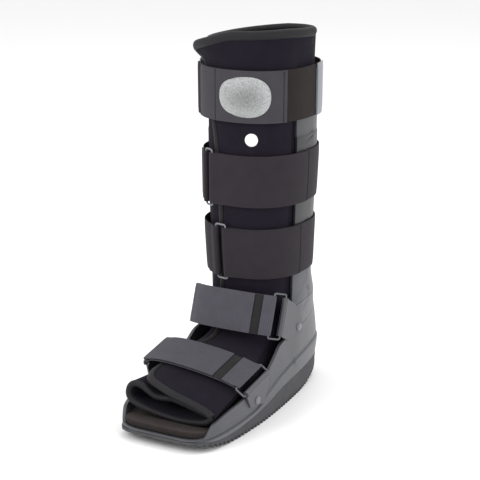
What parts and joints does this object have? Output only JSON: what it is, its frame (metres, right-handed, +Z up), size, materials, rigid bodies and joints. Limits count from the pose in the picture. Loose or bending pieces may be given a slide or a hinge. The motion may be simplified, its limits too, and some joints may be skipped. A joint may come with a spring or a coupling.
{
  "type": "medical walking boot",
  "caption": "Tall medical walking boot: rigid grey shell with uprights on a rocker sole, black padded liner, hook and loop straps in wire rings, and a silver air pump.",
  "frame": {"origin": "on the floor, under the middle of the boot's length and width", "axes": "-Y towards the toes, +X towards the boot's outer side, +Z up the leg"},
  "size_m": [0.1394, 0.3215, 0.4369],
  "materials": {
    "sole_rubber": "matte moulded rubber",
    "shell_plastic": "satin fine grained nylon",
    "insole_foam": "matte closed cell foam",
    "padded_cloth": "brushed loop cloth over foam",
    "edge_binding": "smooth stretch binding",
    "brown_webbing": "woven webbing",
    "ring_plastic": "glossy moulded ring",
    "dark_strap": "felted hook and loop strap",
    "ribbed_strap": "finely ribbed strap",
    "pump_panel_cloth": "coated elastic cloth",
    "pump_skin": "soft silver speckled skin",
    "white_plastic": "smooth",
    "keeper_plastic": "satin"
  },
  "bodies": {
    "root": {"outsole": "sole_rubber", "shell": "shell_plastic", "insole": "insole_foam", "liner": "padded_cloth", "front_flap": "padded_cloth", "flap_binding": "edge_binding", "collar_binding": "edge_binding", "top_strap": "brown_webbing", "top_strap_ring": "ring_plastic", "upper_strap": "dark_strap", "upper_strap_ring": "ring_plastic", "lower_strap": "dark_strap", "lower_strap_ring": "ring_plastic", "pump_panel": "pump_panel_cloth", "air_pump": "pump_skin", "valve_button": "white_plastic", "strap_keeper": "keeper_plastic", "ankle_strap": "ribbed_strap", "ankle_ring_outer": "ring_plastic", "ankle_tab_outer": "shell_plastic", "ankle_rivet_outer": "shell_plastic", "ankle_ring_inner": "ring_plastic", "ankle_tab_inner": "shell_plastic", "ankle_rivet_inner": "shell_plastic", "toe_strap": "ribbed_strap", "toe_ring_outer": "ring_plastic", "toe_tab_outer": "shell_plastic", "toe_rivet_outer": "shell_plastic", "toe_ring_inner": "ring_plastic", "toe_tab_inner": "shell_plastic", "toe_rivet_inner": "shell_plastic"}
  },
  "joints": []
}
